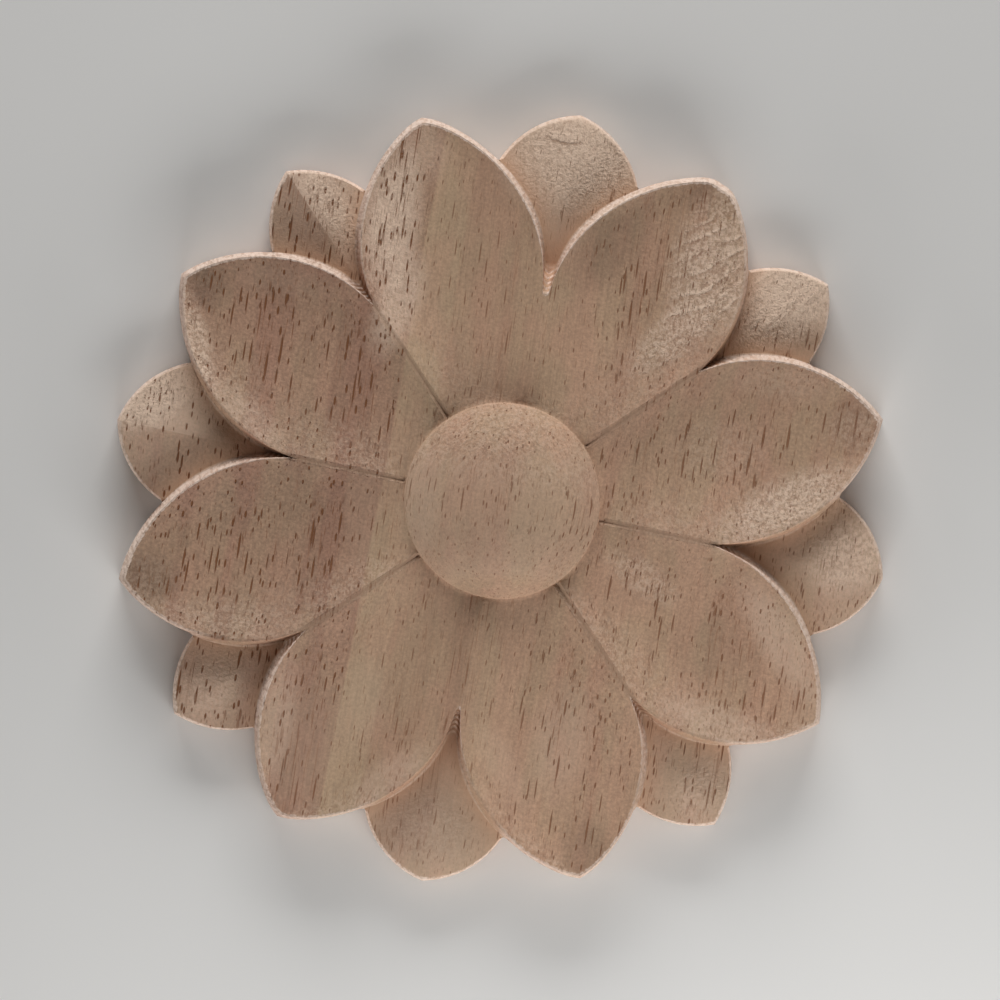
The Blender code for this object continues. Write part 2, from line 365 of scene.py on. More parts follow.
def from_photo(pixel):
    """The model's x and y under a pixel of the photograph."""
    right = (pixel[0] - PHOTO_CENTRE[0]) * PIXEL
    up = (PHOTO_CENTRE[1] - pixel[1]) * PIXEL
    place = complex(right, up) * complex(math.cos(PHOTO_TURN), math.sin(PHOTO_TURN))
    return place.real, place.imag


def turned(x, y, angle, middle=(0, 0)):
    """How far each point is from the middle along a direction, and across it to its left."""
    x, y = x - middle[0], y - middle[1]
    along = x * math.cos(angle) + y * math.sin(angle)
    return along, y * math.cos(angle) - x * math.sin(angle)


def arc_centre(start, end, radius):
    """The centre of the arc that turns left from start to end: half the chord, then square to it."""
    half = (end - start) / 2
    reach = math.sqrt(radius**2 - abs(half) ** 2)
    return start + half + 1j * half / abs(half) * reach


def ray_radius(angle, centre, radius):
    """How far out a ray from the origin leaves a circle: along the centre, plus the half chord."""
    across = np.abs(centre) * np.sin(angle - np.angle(centre))
    along = np.abs(centre) * np.cos(angle - np.angle(centre))
    return along + np.sqrt(np.maximum(radius**2 - across**2, 0))


def side_arc(kind, notch, tip, arc):
    """Centre and radius of an upper petal's side, an arc from the notch to the tip."""
    end = tip * complex(math.cos(SIDE_ANGLE[kind]), math.sin(SIDE_ANGLE[kind]))
    return arc_centre(complex(notch[kind], 0), end, arc[kind]), arc[kind]


RIM_ARCS = [side_arc(kind, RIM_NOTCH, RIM_TIP_RADIUS, RIM_ARC) for kind in (WIDE, NARROW)]
FOOT_ARCS = [side_arc(kind, FOOT_NOTCH, TIP_RADIUS, FOOT_ARC) for kind in (WIDE, NARROW)]


def lower_arc(kind, inset):
    """Centre and radius of a lower petal's side, an arc through its tip from across its middle."""
    along = TIP_RADIUS - math.sqrt(LOWER_ARC[kind] ** 2 - LOWER_ACROSS[kind] ** 2)
    return complex(along, -LOWER_ACROSS[kind]), LOWER_ARC[kind] - inset


def meeting_angle(kind):
    """Angle from the notch where the foot of the upper petal leaves the lower petal's outline."""
    angles = np.linspace(0, SIDE_ANGLE[kind], 4000)
    gap = ray_radius(angles, *FOOT_ARCS[kind]) - ray_radius(angles, *lower_arc(kind, 0))
    return np.interp(0, gap, angles)


def half_rays(kind):
    """Angles from notch to tip: closer together towards the notch, and even along the rim's arc
    past the meeting angle."""
    centre, radius = RIM_ARCS[kind]
    stops = np.array([0, meeting_angle(kind), SIDE_ANGLE[kind]])
    turns = np.angle(ray_radius(stops, centre, radius) * np.exp(1j * stops) - centre)
    inner = turns[0] + (turns[1] - turns[0]) * np.linspace(0, 1, INNER_RAYS + 1) ** RAY_CROWDING
    outer = np.linspace(turns[1], turns[2], OUTER_RAYS + 1)[1:]
    angles = np.angle(centre + radius * np.exp(1j * np.concatenate((inner, outer))))
    angles[[0, INNER_RAYS, -1]] = stops
    return angles


def blunted(radius, least, blunt):
    """A notch's outline with a round end at its least radius: pulled in by blunt at that distance
    from the sharp end, and by less further out."""
    over = radius - least
    over = over - blunt * np.exp((blunt - over) / BLUNT_FADE)
    return least + 0.5 * (over + np.hypot(over, BLUNT_ROUND)) if blunt else radius


def half_petal(half):
    """One half of an upper petal: its rays' angles, where each outline crosses them, and its flaws."""
    notch = (half + 1) // 2 % PETALS
    turn = (half + 1) // 2 * SECTOR
    kind = WIDE if notch % 2 == 0 else NARROW
    right = half % 2 == 0
    local = half_rays(kind)
    local = local[:-1] if right else local[:0:-1]
    off_tip = (SIDE_ANGLE[kind] - local) * TIP_RADIUS / TIP_WEAR_WIDTH
    wear = TIP_WEAR[half // 2] * np.maximum(1 - off_tip, 0) ** 2
    rim = ray_radius(local, *RIM_ARCS[kind]) - wear
    foot = ray_radius(local, *FOOT_ARCS[kind]) - wear
    meeting = meeting_angle(kind)
    own = {
        "angle": turn + local if right else turn - local,
        "local": local,
        "kind": kind,
        "turn": turn,
        "right": right,
        "rim": blunted(rim, RIM_NOTCH[kind], NOTCH_BLUNT[notch]),
        "foot": blunted(foot, FOOT_NOTCH[kind], NOTCH_BLUNT[notch]),
        "lower_rim": ray_radius(local, *lower_arc(kind, LOWER_RIM_INSET)),
        "lower_out": ray_radius(local, *lower_arc(kind, 0)),
        "covered": local > meeting + 1e-6,
        "shelter": np.clip((meeting - local) / SHELTER_FADE + 0.5, 0, 1),
        "cut": FAINT_SHARE if notch in FAINT_NOTCHES else 1.0,
        "pale": LOWER_SIDE_LIGHTING[notch][0 if half % 2 else 1],
        "dark": STEP_SHADOW[notch],
    }
    return {name: np.broadcast_to(values, local.shape) for name, values in own.items()}


class Rays:
    """All rays from the flower's centre, each with what its half petal gives it."""

    def __init__(self):
        halves = [half_petal(half) for half in range(2 * PETALS)]
        for name in halves[0]:
            setattr(self, name, np.concatenate([half[name] for half in halves]))
        self.side = np.array(SIDE_ANGLE)[self.kind]
        self.notch = np.array(RIM_NOTCH)[self.kind]
        self.ladder = np.array(FOOT_NOTCH)[self.kind] - self.notch
        self.roof_power = np.array(ROOF_POWER)[self.kind]
        self.centre, self.arc = [np.array(column)[self.kind] for column in zip(*RIM_ARCS)]
        self.foot_centre, self.foot_arc = [np.array(column)[self.kind] for column in zip(*FOOT_ARCS)]
        outward = self.rim * np.exp(1j * self.local) - self.centre
        outward = np.where(self.right, outward, np.conj(outward))
        outward = outward * np.exp(1j * (self.turn - PHOTO_TURN))
        self.rise = outward.imag / np.abs(outward)

    def face_height(self, radius):
        """Centre line, plus the rims' lift times a power of the way across the petal."""
        reach = np.abs(self.centre)
        cosine = (radius**2 + reach**2 - self.arc**2) / (2 * radius * reach)
        gap = np.angle(self.centre) - np.arccos(np.clip(cosine, -1, 1))
        half = self.side - np.where(radius > self.notch, np.maximum(gap, 0), 0)
        across = np.minimum((self.side - self.local) / np.maximum(half, 1e-9), 1)
        share = np.clip((radius - DOME_RADIUS) / (RIM_TIP_RADIUS - DOME_RADIUS), 0, 1)
        bow = 4 * share * (1 - share)
        line = HUB_HEIGHT + (TIP_HEIGHT - HUB_HEIGHT) * share - SAG * bow
        return line + RIM_LIFT * bow**LIFT_POWER * across**CROSS_POWER

    def nearness(self, radius, reach):
        """How near the feet of the own and the other upper petal are: both fade by e for each reach."""
        point = radius * np.exp(1j * self.local)
        own = np.abs(point - self.foot_centre) - self.foot_arc
        other = np.abs(np.conj(point) - self.foot_centre) - self.foot_arc
        return np.exp(-np.maximum(own, 0) / reach), np.exp(-np.maximum(other, 0) / reach)

    def steps(self, radius):
        """Steps down the notch's end, counted along it and slanting back to each side, and their
        strength, which fades past the foot's notch."""
        along = radius * np.cos(self.local) - self.notch
        aside = np.hypot(radius * np.sin(self.local), STEP_ROUND) - STEP_ROUND
        count = (along - STEP_SLANT * aside) * NOTCH_STEPS / self.ladder
        strength = np.clip((1 + STEP_FADE - along / self.ladder) / STEP_FADE, 0, 1)
        return count, strength

    def lower_height(self, radius):
        """A crest that bulges along the petal, less the roof's fall to each side of it."""
        share = (radius - RIM_NOTCH[WIDE]) / (TIP_RADIUS - RIM_NOTCH[WIDE])
        crest = LOWER_NOTCH_HEIGHT + (LOWER_TIP_HEIGHT - LOWER_NOTCH_HEIGHT) * share
        crest = crest + LOWER_CROWN * 4 * share * (1 - share)
        sideways = np.minimum(np.abs(radius * np.sin(self.local)) / LOWER_HALF_WIDTH, 1)
        sideways = np.hypot(sideways, CREST_ROUND) - CREST_ROUND
        return crest - LOWER_ROOF * sideways ** self.roof_power


def scatter(column, row, seed):
    """A repeatable value from 0 to 1 for each whole-number pair, by mixing their bits."""
    mixed = column.astype(np.uint32) * np.uint32(374761393)
    mixed = mixed + row.astype(np.uint32) * np.uint32(668265263)
    mixed = mixed + np.uint32(seed * 1013904223 % 2**32)
    mixed = (mixed ^ (mixed >> np.uint32(13))) * np.uint32(1274126177)
    return ((mixed ^ (mixed >> np.uint32(16))) & np.uint32(0xFFFF)) / 65535.0


def ripple(x, y, size, seed):
    """Smooth noise from -1 to 1: corner values of a grid of this size, blended by their distance."""
    column, row = np.floor(x / size), np.floor(y / size)
    u, v = x / size - column, y / size - row
    u, v = u * u * (3 - 2 * u), v * v * (3 - 2 * v)
    column, row = column.astype(np.int64), row.astype(np.int64)
    corners = [scatter(column + i, row + j, seed) for j in (0, 1) for i in (0, 1)]
    near = corners[0] * (1 - u) + corners[1] * u
    far = corners[2] * (1 - u) + corners[3] * u
    return 2 * (near * (1 - v) + far * v) - 1


def patch_strength(x, y, column, most=1.0):
    """The sum of the soft-edged elliptical patches at each point, for one of their values."""
    strength = np.zeros(x.shape)
    for patch in PATCHES:
        angle = math.radians(patch[3]) + PHOTO_TURN
        along, across = turned(x, y, angle, from_photo(patch[1]))
        far = np.hypot(along / (patch[2][0] * PIXEL), across / (patch[2][1] * PIXEL))
        strength += patch[column] * np.clip(1.8 * (1 - far), 0, 1)
    return np.clip(strength, -1, most)


def ridges(x, y):
    """Raised lines of torn grain: where each point is on a wave down the patch that fans out and
    that smooth noise bends, in turns, and how far noise along the ridges leaves them standing."""
    middle = from_photo(RIDGE_PIXEL)
    along, across = turned(x, y, math.radians(RIDGE_TURN) + PHOTO_TURN, middle)
    x, y = x - middle[0], y - middle[1]
    bend = 0.0007 * ripple(x, y, 0.0040, 3) + 0.0003 * ripple(x, y, 0.0015, 4)
    bend = bend + RIDGE_FAN * along * across
    standing = np.clip(0.6 + 0.9 * ripple(along / 3, across, 0.0014, 6), 0, 1)
    return (across + bend) / RIDGE_PITCH, standing


def coarseness(x, y):
    """How coarse the pores are: fully in the left stave, less at the right, and in some patches."""
    along, across = turned(x, y, GRAIN_TURN)
    right = np.clip((-across - COARSE_FROM) / (COARSE_TO - COARSE_FROM), 0, 1)
    stave = np.where(-across - GLUE_LEAN * along < GLUE_LINE, 1.0, COARSE_SHARE * right)
    return np.clip(stave + patch_strength(x, y, COARSE), 0, 1.2)


def ridge_height(phase):
    """How high a ridge is along its turn: a quick rise, then a long fall by a power."""
    share = phase % 1
    return np.clip(share / RIDGE_RISE, 0, 1) * (1 - share) ** RIDGE_FALL


def lumps(x, y):
    """Fibre ends: two sizes of smooth noise."""
    return ripple(x, y, 0.0006, 5) + 0.6 * ripple(x, y, 0.0003, 7)


def waver(x, y):
    """The unevenness that sanding leaves, in metres: two sizes of smooth noise."""
    return 0.000015 * ripple(x, y, 0.0021, 11) + 0.00001 * ripple(x, y, 0.0009, 13)


def grid_normals(points):
    """Unit normals of a grid of points: the cross product of its differences both ways."""
    down = np.gradient(points, axis=0)
    along = np.roll(points, -1, axis=1) - np.roll(points, 1, axis=1)
    normal = np.cross(down, along)
    size = np.linalg.norm(normal, axis=-1, keepdims=True)
    return normal / np.maximum(size, 1e-14)


class Rings:
    """The surface's rings in order, from the dome's top to the back's middle."""

    def __init__(self, rays):
        self.rays = rays
        self.rows = []

    def add(self, radius, height, wall=0.0, rim=0.0, lower=0.0, cut=0.0):
        """One ring: radii and heights over the rays, and its marks for the material."""
        shape = self.rays.angle.shape
        ring = (radius, height, wall, rim, lower, cut)
        self.rows.append([np.broadcast_to(values, shape).astype(float) for values in ring])


def cut_lines(rays, shape, radius):
    """A V across the line to the notch, from the dome to the top of the notch's wall."""
    across = np.abs(radius * np.sin(rays.local))
    share = np.maximum(1 - across / (shape.groove_width / 2), 0) * rays.cut
    return share * (radius < rays.notch + CUT_OVERRUN) * (radius > DOME_RADIUS + CUT_START)


def add_dome(rings):
    """A cap of a sphere, closer ringed towards its edge, and the crease around it."""
    rise = TOP_HEIGHT - DOME_EDGE_HEIGHT
    sphere = (DOME_RADIUS**2 + rise**2) / (2 * rise)
    for share in (*np.linspace(0, 0.96, DOME_RINGS)[1:], 0.985, 1.0):
        turn = math.asin(DOME_RADIUS / sphere) * share
        rings.add(sphere * math.sin(turn), TOP_HEIGHT - sphere * (1 - math.cos(turn)))
    rings.add(DOME_RADIUS + CREASE[0], HUB_HEIGHT + CREASE_LIFT)
    rings.add(DOME_RADIUS + CREASE[1], rings.rays.face_height(DOME_RADIUS + CREASE[1]))


def add_faces(rings, shape, rounded):
    """The upper petals' faces: from the dome to where each rim's rounding starts, in steps that
    shorten by a power, less the V of the cut lines."""
    rays = rings.rays
    span = rays.rim - rounded - DOME_RADIUS
    for share in 1 - (1 - np.linspace(0, 1, FACE_RINGS)[1:-1]) ** 1.15:
        radius = DOME_RADIUS + span * share
        cut = cut_lines(rays, shape, radius)
        edge = 0.5 * np.clip(1 - (rays.rim - rounded - radius) / EDGE_FUZZ, 0, 1)
        rings.add(radius, rays.face_height(radius) - shape.groove_depth * cut, rim=edge, cut=cut)


def add_walls(rings, shape, rounded):
    """The rims, rounded by a quadratic curve that their sharp line pulls out, and then the walls,
    straight down to their feet."""
    rays = rings.rays
    rim_height = rays.face_height(rays.rim)
    foot_height = np.where(rays.covered, EDGE_HEIGHT, rays.lower_height(rays.foot))
    reach, fall = rays.foot - rays.rim, foot_height - rim_height
    inward = (rays.rim - rounded, rays.face_height(rays.rim - rounded))
    outward = (rays.rim + reach * WALL_START, rim_height + fall * WALL_START)
    for share in (0.0, 0.33, 0.67, 1.0):
        pull = (1 - share) ** 2, 2 * share * (1 - share), share**2
        radius = pull[0] * inward[0] + pull[1] * rays.rim + pull[2] * outward[0]
        height = pull[0] * inward[1] + pull[1] * rim_height + pull[2] * outward[1]
        cut = cut_lines(rays, shape, radius)
        rings.add(radius, height - shape.groove_depth * cut * (1 - share), wall=share, rim=1.0, cut=cut)
    for share in np.linspace(WALL_START, 1, WALL_RINGS)[1:]:
        rim = max(0.0, 1 - share * 3)
        rings.add(rays.rim + reach * share, rim_height + fall * share, wall=1.0, rim=rim)


def add_lower_petals(rings):
    """The lower petals from the walls' feet to their own rims, in steps that shorten by a power.
    Where an upper petal covers them, the rings stay at its foot."""
    rays = rings.rays
    reach = np.maximum(rays.lower_rim - rays.foot, 0)
    for share in 1 - (1 - np.linspace(0, 1, LOWER_RINGS)[1:]) ** 1.2:
        radius = np.where(rays.covered, rays.foot, rays.foot + reach * share)
        height = np.where(rays.covered, EDGE_HEIGHT, rays.lower_height(radius))
        rings.add(radius, height, lower=1.0, rim=0.8 * (share > 0.98))


def add_edge_and_back(rings):
    """Down from the lower petals' rims to the sawn edge, down that and back under to the middle."""
    rays = rings.rays
    outline = np.maximum(rays.foot, rays.lower_out)
    start_radius, start_height = rings.rows[-1][:2]
    for share in (0.4, 0.8, 1.0):
        radius = start_radius + (outline - start_radius) * share
        height = start_height + (EDGE_HEIGHT - start_height) * share
        rings.add(radius, height, wall=1.0, lower=1.0, rim=0.5 * (share < 0.5))
    rings.add(outline, EDGE_HEIGHT * 0.55, wall=0.5)
    rings.add(outline, BACK_ROUND, wall=0.5)
    rings.add(outline - BACK_ROUND, 0)
    for share in (0.97, 0.7, 0.35, 0.05):
        rings.add(outline * share, 0)


def carved_surface(shape):
    """The rays, and the rings of points around them from the dome's top to the back's middle."""
    rays = Rays()
    rings = Rings(rays)
    rounded = shape.rim_round * (1 + SHOULDER * np.clip(-rays.rise, 0, 1) * rays.shelter)
    add_dome(rings)
    add_faces(rings, shape, rounded)
    add_walls(rings, shape, rounded)
    add_lower_petals(rings)
    add_edge_and_back(rings)
    return rays, np.array(rings.rows)


def torn_grain(x, y, uphill, carved):
    """How torn the faces are, in patches and where they tilt against the grain, where each point is
    on the ridges, in turns, and how far these stand up."""
    patchy = 0.65 + 0.35 * ripple(x, y, 0.0060, 17)
    fuzz = np.clip((uphill - FUZZ_FROM) / FUZZ_OVER, 0, 1) * patchy * carved
    torn = np.maximum(patch_strength(x, y, ROUGH), FUZZ_MOST * fuzz) * carved
    phase, standing = ridges(x, y)
    return torn, phase, patch_strength(x, y, RIDGED) * standing * carved


def finished_surface(shape):
    """The carved surface's points, with waver, torn grain and tool steps added to their heights,
    and the marks for the material."""
    rays, rings = carved_surface(shape)
    radius, height, wall, rim, lower, cut = rings.transpose(1, 0, 2)
    x = radius * np.cos(rays.angle)
    y = radius * np.sin(rays.angle)
    carved = (height > BACK_UNDER) * (1 - wall) * (1 - lower * rays.covered)
    normal = grid_normals(np.stack((x, y, height), axis=-1))
    uphill = normal[..., 0] * math.cos(GRAIN_TURN) + normal[..., 1] * math.sin(GRAIN_TURN)
    torn, phase, ridged = torn_grain(x, y, uphill, carved)
    height = height + carved * waver(x, y)
    raised = LUMP_SHARE * torn * lumps(x, y) + ridged * ridge_height(phase)
    height = height + shape.torn_height * raised

    own, other = rays.nearness(radius, RECESS_SHADE_REACH)
    step, ladder = rays.steps(radius)
    upper = (lower == 0) * (height > EDGE_HEIGHT)
    # Painted shade on the lower petals near the walls' feet, and on the walls near the other foot
    deep = np.clip(own + RECESS_SHADE_OTHER * other, 0, 1) * (lower > 0) * carved
    deep = np.maximum(deep, RECESS_SHADE_WALL * other * (1 - ladder) * wall * upper)
    ladder = ladder * (wall == 1) * upper
    drop = (HUB_HEIGHT - LOWER_NOTCH_HEIGHT) / NOTCH_STEPS
    height = height + ladder * drop * STEP_LEVEL * np.sin(2 * math.pi * step) / (2 * math.pi)

    outer = np.clip((radius - FOOT_NOTCH[WIDE]) / (TIP_RADIUS - FOOT_NOTCH[WIDE]), 0, 1)
    pale = patch_strength(x, y, PALE, PALEST) + DOME_PALE * (radius <= DOME_RADIUS)
    # Painted light and shade on the lower petals' sides, from LOWER_SIDE_LIGHTING
    pale = np.clip(pale + rays.pale * outer * (lower > 0), -1, PALEST) * carved
    # Painted highlight: walls and rims take the paler cut colour as far as they face the picture's top,
    # where they have no lower petal, and all over the lower petals
    facing = np.clip((rays.rise - HIGHLIGHT_FROM) / HIGHLIGHT_OVER, 0, 1)
    facing = np.where(lower > 0, 1.0, np.maximum(facing, HIGHLIGHT_OPEN * (1 - rays.shelter)))
    marks = {
        "wall": wall, "rim": rim, "torn": torn, "deep": deep, "uphill": uphill, "lower": lower,
        "pale": pale, "coarse": coarseness(x, y), "facing": facing, "step": step, "ladder": ladder,
        "cut": cut, "phase": phase, "ridged": ridged, "sunk": ladder * rays.dark,
    }
    return np.stack((x, y, height), axis=-1), marks


def mesh_from_rings(name, points, marks):
    """A closed mesh: quads between neighbouring rings and fans to a point at both ends."""
    first = points[0].mean(axis=0)
    first[2] = TOP_HEIGHT
    last = points[-1].mean(axis=0)
    vertices = np.concatenate((points.reshape(-1, 3), [first, last]))
    here = np.arange(points[..., 0].size).reshape(points.shape[:2])
    beside = np.roll(here, -1, axis=1)
    quads = np.stack((here[:-1], here[1:], beside[1:], beside[:-1]), axis=-1).reshape(-1, 4)
    top, low = np.full_like(here[0], here.size), np.full_like(here[0], here.size + 1)
    top_fan = np.stack((top, here[0], beside[0]), axis=-1)
    low_fan = np.stack((here[-1], low, beside[-1]), axis=-1)
    faces = np.concatenate((quads[:, [0, 1, 2]], quads[:, [0, 2, 3]], top_fan, low_fan))
    keys = np.round(vertices * MERGE_STEPS).astype(np.int64)
    _, kept, index = np.unique(keys, axis=0, return_index=True, return_inverse=True)
    faces = index.reshape(-1)[faces]
    whole = (faces[:, 0] != faces[:, 1]) & (faces[:, 1] != faces[:, 2]) & (faces[:, 0] != faces[:, 2])
    mesh = bpy.data.meshes.new(name)
    mesh.from_pydata(vertices[kept].tolist(), [], faces[whole].tolist())
    for key, values in marks.items():
        layer = mesh.attributes.new(key, "FLOAT", "POINT")
        layer.data.foreach_set("value", np.append(values.reshape(-1), (0, 0))[kept].astype(np.float32))
    mesh.shade_smooth()
    mesh.validate()
    mesh.update()
    return mesh


class ONLAY_OT_carve(bpy.types.Operator):
    """Carve the rosette's fine surface in place of the plain solid"""

    bl_idname = "onlay.carve"
    bl_label = "Carve the rosette"

    def execute(self, context):
        points, marks = finished_surface(context.scene.rosette_shape)
        mesh = mesh_from_rings(PIECE, points, marks)
        mesh.materials.append(carved_wood(context.scene.wood_finish, marks))
        piece = bpy.data.objects.new(PIECE, mesh)
        context.scene.collection.objects.link(piece)
        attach(piece, BODY)
        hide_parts(NODE)
        return {"FINISHED"}


class Tree:
    """Short calls for building a node tree: add a node, set or link its inputs, read its output."""

    def __init__(self, tree):
        self.tree = tree

    def add(self, kind, output=0, settings=None, **inputs):
        """Inputs are given by name, with _ for a space, or by place, as at_0."""
        made = self.tree.nodes.new("ShaderNode" + kind)
        for key, value in (settings or {}).items():
            setattr(made, key, value)
        for key, value in inputs.items():
            place = int(key[3:]) if key.startswith("at_") else key.replace("_", " ")
            socket = made.inputs[place]
            if isinstance(value, bpy.types.NodeSocket):
                self.tree.links.new(value, socket)
            else:
                socket.default_value = value
        return made.outputs[output]

    def math(self, operation, first, second=0.0, third=0.0):
        return self.add("Math", 0, {"operation": operation}, at_0=first, at_1=second, at_2=third)

    def times(self, first, *others):
        """The product of all the values."""
        for other in others:
            first = self.math("MULTIPLY", first, other)
        return first

    def plus(self, start, value, factor=1.0):
        """The start, plus the value times a factor."""
        return self.math("MULTIPLY_ADD", value, factor, start)

    def most(self, first, second):
        return self.math("MAXIMUM", first, second)

    def clamp(self, value, low, high, to_low=0.0, to_high=1.0):
        """A smooth step from to_low where the value is low to to_high where it is high."""
        return self.add("MapRange", 0, {"interpolation_type": "SMOOTHSTEP"}, Value=value,
                        at_1=low, at_2=high, at_3=to_low, at_4=to_high)

    def mix(self, share, first, second, blend="MIX"):
        """The first colour towards the second by a share. Each is a socket or red, green and blue."""
        first, second = [colour if isinstance(colour, bpy.types.NodeSocket) else (*colour, 1)
                         for colour in (first, second)]
        settings = {"data_type": "RGBA", "blend_type": blend}
        return self.add("Mix", 2, settings, at_0=share, at_6=first, at_7=second)

    def vector(self, operation, first, second=(0, 0, 0), output=0):
        return self.add("VectorMath", output, {"operation": operation}, at_0=first, at_1=second)

    def noise(self, vector, along, scale, detail, roughness=0.5, output=0):
        """Noise that is drawn out along the second axis where along is less than 1."""
        if along != 1:
            vector = self.vector("MULTIPLY", vector, (1, along, 1))
        return self.add("TexNoise", output, Vector=vector, Scale=scale, Detail=detail,
                        Roughness=roughness)

    def mark(self, name):
        """A mark that the mesh carries."""
        return self.add("Attribute", 2, {"attribute_name": name})


def pore_group():
    """Open pores: long thin ellipsoids along the grain, one to a cell, cut by the surface."""
    group = bpy.data.node_groups.new("open_pores", "ShaderNodeTree")
    group.interface.new_socket("Vector", in_out="INPUT", socket_type="NodeSocketVector")
    for name in ("Width", "Length", "Size"):
        group.interface.new_socket(name, in_out="INPUT", socket_type="NodeSocketFloat")
    group.interface.new_socket("Mask", in_out="OUTPUT", socket_type="NodeSocketFloat")
    given = group.nodes.new("NodeGroupInput").outputs
    gives = group.nodes.new("NodeGroupOutput").inputs
    tree = Tree(group)
    across = tree.math("DIVIDE", 1.0, given["Width"])
    along = tree.math("DIVIDE", 1.0, given["Length"])
    stretch = tree.add("CombineXYZ", X=across, Y=along, Z=across)
    cells = tree.vector("MULTIPLY", given["Vector"], stretch)
    reach = tree.add("TexVoronoi", Vector=cells, Scale=1.0)
    soft = tree.times(given["Size"], 0.62)
    group.links.new(tree.clamp(reach, soft, given["Size"], 1.0, 0.0), gives["Mask"])
    return group


def grain_field(tree):
    """The place in the model, and that place turned to the grain, which noise bends sideways."""
    place = tree.add("TexCoord", 3)
    turn = math.pi / 2 - GRAIN_TURN
    straight = tree.add("Mapping", Vector=place, Rotation=(0, 0, turn))
    bend = tree.noise(straight, 0.35, 70, 1, output=1)
    bend = tree.vector("SUBTRACT", bend, (0.5, 0.5, 0.5))
    bend = tree.vector("MULTIPLY", bend, (GRAIN_WANDER, 0.0, GRAIN_WANDER))
    return place, tree.vector("ADD", straight, bend)


def wood_noises(tree, place, grain):
    """The wood's noises by name. The specks take up the mottle, and the teeth run down the walls."""
    noise = SimpleNamespace(**{name: tree.noise(grain, *values) for name, values in NOISES.items()})
    noise.specks = tree.times(tree.math("ADD", noise.mottle, noise.specks), 0.5)
    noise.teeth = tree.noise(tree.vector("MULTIPLY", place, (1, 1, 0.08)), 1, 2600, 2, 0.6)
    return noise


def pore_masks(tree, grain, noise, marks):
    """All open pores, and those of them that dent the wood. Long pores fade where the face tilts
    along the grain, and torn wood breaks up all of them."""
    group = pore_group()

    def pores(cell, size):
        return tree.add("Group", 0, {"node_tree": group}, Vector=grain, Width=cell[0],
                        Length=cell[1], Size=size)

    level = tree.clamp(tree.math("ABSOLUTE", marks.uphill), 0.26, 0.12)
    thick = tree.plus(tree.clamp(noise.bands, 0.35, 0.66, 0.13, 0.19), marks.coarse, 0.065)
    dents = tree.times(pores(LONG_PORES, tree.times(thick, 1.12)), level)
    dents = tree.most(dents, pores(SHORT_PORES, thick))
    rows = pores(ROW_PORES, tree.clamp(noise.bands, 0.45, 0.57, 0.04, 0.21))
    fine = tree.times(pores(FINE_PORES, 0.20), 0.65)
    broken = tree.times(marks.torn, tree.clamp(noise.mottle, 0.54, 0.46))
    whole = tree.plus(1.0, broken, -0.9)
    dents = tree.times(dents, whole)
    flat = tree.times(tree.most(tree.times(rows, 0.85, level), fine), whole)
    return tree.most(flat, dents), dents


def stave_masks(tree, grain, noise):
    """Where the left stave is, and how strong the yellow streaks are."""
    across = tree.add("SeparateXYZ", Vector=grain)
    along = tree.add("SeparateXYZ", 1, Vector=grain)
    glued = tree.plus(across, along, -GLUE_LEAN)
    left = tree.clamp(glued, GLUE_LINE + GLUE_BLUR, GLUE_LINE - GLUE_BLUR)
    beside = tree.clamp(glued, GLUE_LINE + GLUE_STREAK[1], GLUE_LINE + GLUE_STREAK[0])
    beside = tree.times(beside, tree.math("SUBTRACT", 1.0, left))
    start, full, fade, end = MIDDLE_STREAK
    middle = tree.times(tree.clamp(across, start, full), tree.clamp(across, end, fade))
    yellow = tree.plus(tree.times(beside, 0.85), middle, 0.45)
    return left, tree.most(yellow, tree.clamp(noise.bands, 0.62, 0.45, 0.0, 0.35))


def bare_wood(tree, finish, grain, noise, marks):
    """The staves' and streaks' colours, times a shade from noises, darker patches that are partly
    painted shade, painted shade in the cut lines and the tilt along the grain, and times a faint tint."""
    left, yellow = stave_masks(tree, grain, noise)
    wood = tree.mix(left, finish.right_stave, finish.left_stave)
    wood = tree.mix(yellow, wood, finish.yellow_streak)
    grainy = tree.times(tree.math("SUBTRACT", noise.speckle, 0.5), tree.plus(0.60, marks.coarse, 0.36))
    shade = tree.times(
        tree.plus(0.86, noise.streaks, 0.28),
        tree.plus(0.83, noise.lines, 0.34),
        tree.plus(1.0, tree.math("MINIMUM", marks.pale, 0.0), 0.5),
        tree.plus(0.85, noise.clouds, 0.30),
        tree.math("ADD", grainy, 1.0),
        # Painted shade in the cut lines
        tree.clamp(marks.cut, 0.0, 0.7, 1.0, 0.66),
        tree.plus(1.0, tree.most(marks.uphill, 0.0), 0.1),
    )
    shade = tree.add("CombineColor", Red=shade, Green=shade, Blue=shade)
    tint = tree.mix(tree.clamp(noise.tint, 0.38, 0.62), (1.03, 0.985, 0.985), (0.985, 1.005, 0.985))
    return tree.mix(1.0, tree.mix(1.0, wood, shade, "MULTIPLY"), tint, "MULTIPLY")


def cut_highlight_mask(tree, noise, marks, gap):
    """Paler cut walls and frayed rims as painted highlight, as far as they face the picture's top, less
    the gaps between the tool steps and what mottle and teeth leave out."""
    facing = tree.times(marks.facing, tree.plus(1.0, gap, -0.9))
    fray = tree.clamp(marks.rim, 0.0, 0.1, 0.0, 1.4)
    fray = tree.times(tree.math("SUBTRACT", noise.teeth, 0.5), fray)
    frayed = tree.clamp(tree.math("ADD", marks.rim, fray), 0.3, 0.7)
    mottled = tree.clamp(noise.mottle, 0.3, 0.6, 0.7, 1.0)
    toothed = tree.clamp(noise.teeth, 0.38, 0.56, 0.5, 1.0)
    return tree.times(tree.most(marks.wall, frayed), facing, mottled, toothed)


